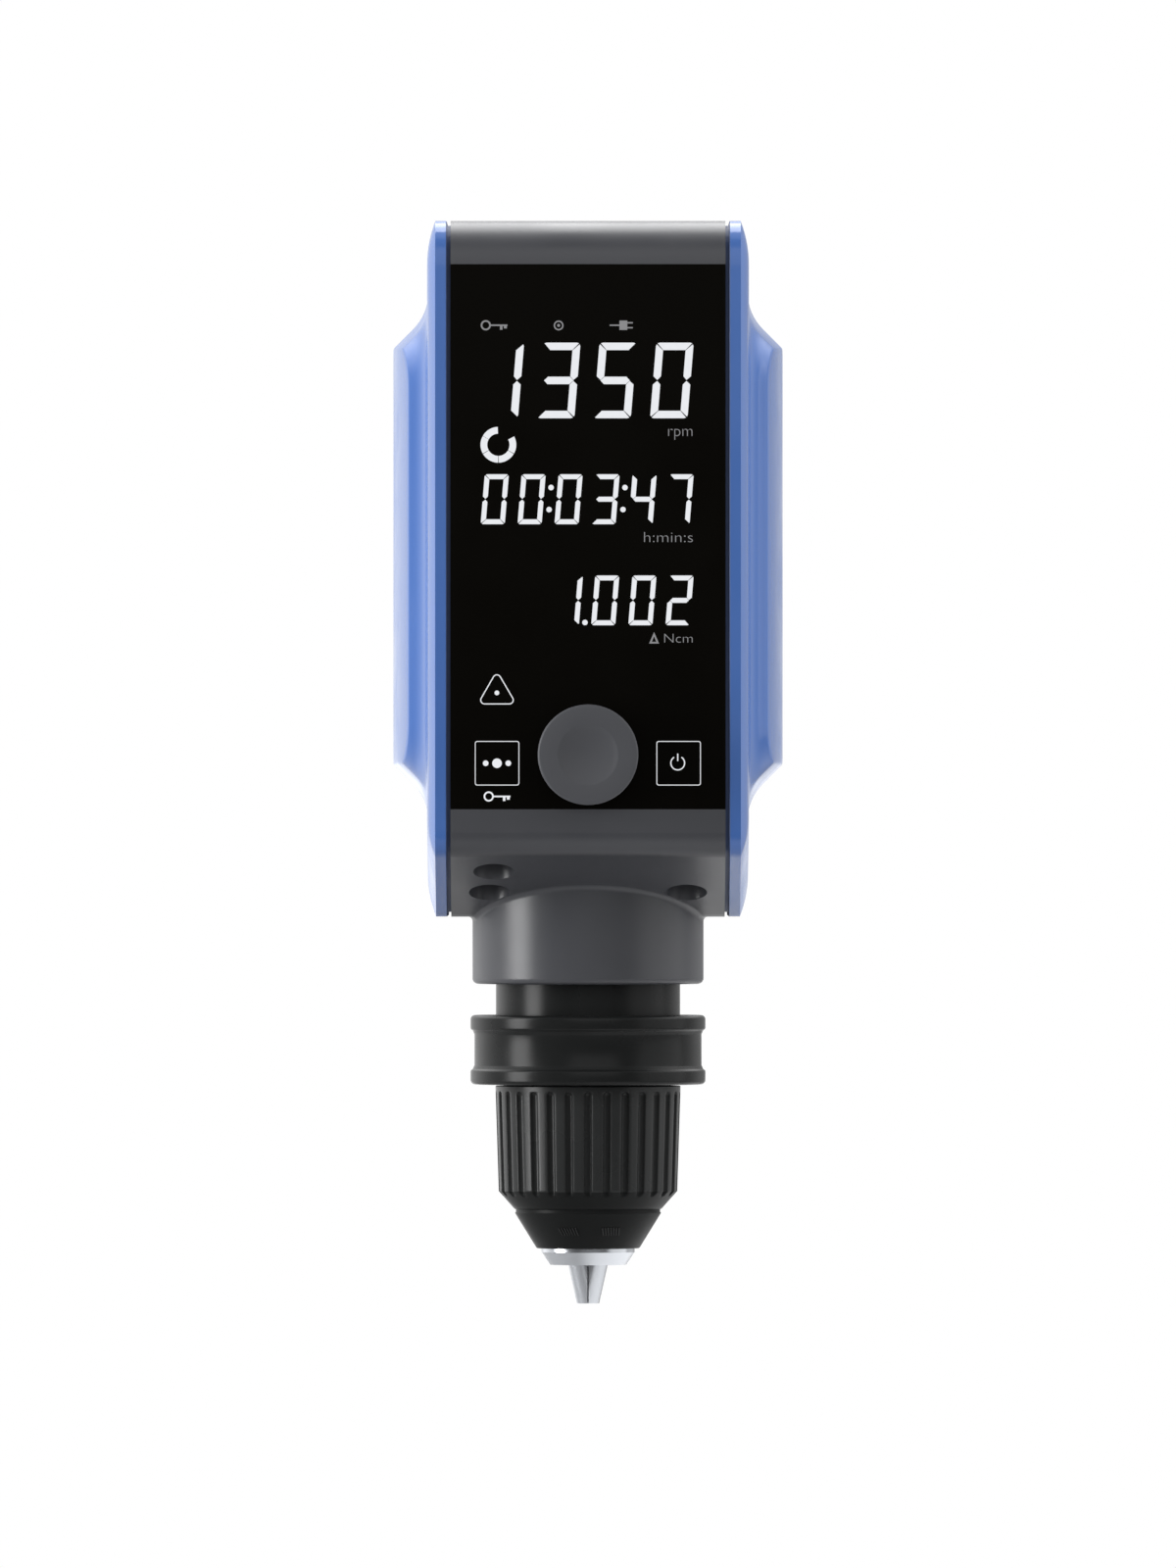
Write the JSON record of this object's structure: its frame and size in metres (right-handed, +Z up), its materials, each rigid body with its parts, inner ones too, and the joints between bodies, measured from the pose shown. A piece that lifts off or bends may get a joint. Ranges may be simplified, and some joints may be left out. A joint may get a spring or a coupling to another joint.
{
  "type": "overhead stirrer",
  "caption": "Slim overhead laboratory stirrer head with a black display front, blue side covers, a control knob, a sliding lock ring, a keyless chuck and a rear support rod.",
  "frame": {"origin": "middle of the chuck's nose face, on the spindle axis", "axes": "+Z up along the spindle axis, -Y out of the display front towards the operator, +X to the operator's right"},
  "size_m": [0.09, 0.296, 0.2489],
  "materials": {
    "casting_paint": "fine satin dark grey paint on an aluminium casting",
    "cover_blue": "satin moulded blue",
    "window_black": "polished black pane",
    "soft_black": "matt",
    "dark_plastic": "satin",
    "board_green": "solder mask",
    "steel": "turned",
    "bright_steel": "ground and polished",
    "plain_aluminium": "machined",
    "black_plastic": "satin glass-filled",
    "grey_plastic": "satin",
    "knob_grey": "bead blasted and dyed dark grey",
    "copper": "enamelled wire",
    "magnet": "nickel plated",
    "ribbon_grey": "flat ribbon"
  },
  "bodies": {
    "head": {"central_frame": "casting_paint", "left_side_cover": "cover_blue", "right_side_cover": "cover_blue", "cover_screws": "steel", "front_window": "window_black", "window_gasket": "soft_black", "segment_display": "dark_plastic", "display_board": "board_green", "board_screws": "steel", "key_switches": "dark_plastic", "rotary_encoder": "plain_aluminium", "drive_chassis": "plain_aluminium", "chassis_screws": "steel", "lock_hub": "black_plastic", "shaft_seal": "soft_black", "bearing_outer_rings": "steel", "guide_tube": "black_plastic", "motor_case": "plain_aluminium", "motor_end_cap": "plain_aluminium", "motor_bearings": "steel", "stator_core": "steel", "stator_windings": "copper", "motor_screws": "steel", "main_board": "board_green", "board_parts": "dark_plastic", "power_jack": "dark_plastic", "data_port": "steel", "probe_socket": "dark_plastic", "ribbon_cable": "ribbon_grey", "extension_arm": "steel", "drive_belt": "soft_black"},
    "spindle": {"spindle_shaft": "steel", "bearing_inner_rings": "steel", "spindle_pulley": "plain_aluminium", "shaft_clip": "steel", "chuck_body": "bright_steel", "rear_collar": "steel"},
    "lock_slider": {"lock_ring": "black_plastic"},
    "chuck_sleeve": {"fluted_sleeve": "black_plastic", "nose_ring": "black_plastic", "jaw_nut": "steel"},
    "jaw_body_1": {"jaw_1": "bright_steel"},
    "jaw_body_2": {"jaw_2": "bright_steel"},
    "jaw_body_3": {"jaw_3": "bright_steel"},
    "motor_rotor": {"rotor_magnet": "magnet", "rotor_shaft": "steel", "motor_pulley": "plain_aluminium"},
    "knob_push": {"encoder_plunger": "dark_plastic"},
    "knob_turn": {"control_knob": "knob_grey", "encoder_shaft": "steel"},
    "menu_button": {"menu_key": "window_black"},
    "power_button": {"power_key": "window_black"},
    "top_cap": {"spindle_hole_cap": "grey_plastic"}
  },
  "joints": [
    {"name": "spindle_spin", "type": "hinge", "parent": "head", "child": "spindle", "pos_m": [0, 0, 0], "axis": [0, 0, 1], "continuous": true, "deforming": ["drive_belt"]},
    {"name": "motor_spin", "type": "hinge", "parent": "head", "child": "motor_rotor", "pos_m": [0, 0.04597, 0.13], "axis": [0, 0, 1], "continuous": true},
    {"name": "lock_ring_slide", "type": "slide", "parent": "spindle", "child": "lock_slider", "axis": [0, 0, 1], "range_m": [0, 0.006]},
    {"name": "chuck_turn", "type": "hinge", "parent": "spindle", "child": "chuck_sleeve", "pos_m": [0, 0, 0], "axis": [0, 0, 1], "range_deg": [0, 3600]},
    {"name": "jaw_1_slide", "type": "slide", "parent": "spindle", "child": "jaw_body_1", "axis": [0, 0.2487, 0.9686], "range_m": [0, 0.0202]},
    {"name": "jaw_2_slide", "type": "slide", "parent": "spindle", "child": "jaw_body_2", "axis": [-0.2154, -0.1243, 0.9686], "range_m": [0, 0.0202]},
    {"name": "jaw_3_slide", "type": "slide", "parent": "spindle", "child": "jaw_body_3", "axis": [0.2154, -0.1243, 0.9686], "range_m": [0, 0.0202]},
    {"name": "knob_press", "type": "slide", "parent": "head", "child": "knob_push", "axis": [0, 1, 0], "range_m": [0, 0.0008], "stiffness_N_per_m": 2500, "springref_m": -0.0006},
    {"name": "knob_spin", "type": "hinge", "parent": "knob_push", "child": "knob_turn", "pos_m": [0, -0.055, 0.1176], "axis": [0, 1, 0], "continuous": true},
    {"name": "menu_key_press", "type": "slide", "parent": "head", "child": "menu_button", "axis": [0, 1, 0], "range_m": [0, 0.0004], "stiffness_N_per_m": 3000, "springref_m": -0.0004},
    {"name": "power_key_press", "type": "slide", "parent": "head", "child": "power_button", "axis": [0, 1, 0], "range_m": [0, 0.0004], "stiffness_N_per_m": 3000, "springref_m": -0.0004},
    {"name": "top_cap_lift", "type": "slide", "parent": "head", "child": "top_cap", "axis": [0, 0, 1], "range_m": [0, 0.03]}
  ],
  "couplings": [
    {"joint": "motor_spin", "follows": "spindle_spin", "ratio": 3},
    {"joint": "jaw_1_slide", "follows": "chuck_turn", "m_per_rad": 0.0003199},
    {"joint": "jaw_2_slide", "follows": "chuck_turn", "m_per_rad": 0.0003199},
    {"joint": "jaw_3_slide", "follows": "chuck_turn", "m_per_rad": 0.0003199}
  ]
}
